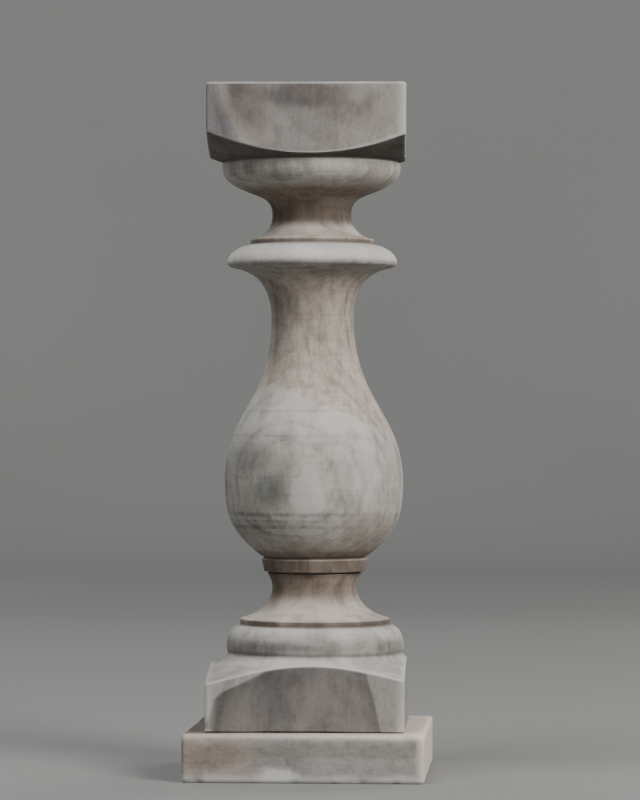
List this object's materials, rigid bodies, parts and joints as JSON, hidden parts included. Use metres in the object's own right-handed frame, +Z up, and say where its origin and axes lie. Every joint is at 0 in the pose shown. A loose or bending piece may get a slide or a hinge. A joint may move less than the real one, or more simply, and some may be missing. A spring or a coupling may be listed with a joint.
{
  "type": "turned wooden baluster",
  "caption": "Turned baluster of pale weathered wood: square top and base blocks, waisted shaft with collar and full belly, standing on a square plinth board.",
  "frame": {"origin": "middle of the plinth board's underside, where the part rests", "axes": "+Z up along the baluster; the front that the picture shows faces -Y; the board's sides are parallel to X and Y"},
  "size_m": [0.208, 0.208, 0.6],
  "materials": {
    "baluster_wood": "bare, bleached and weathered, matt, with grey patina and traces of pale wash",
    "board_wood": "bare, bleached and weathered, matt"
  },
  "bodies": {
    "root": {"turned_baluster": "baluster_wood", "plinth_board": "board_wood"}
  },
  "joints": []
}
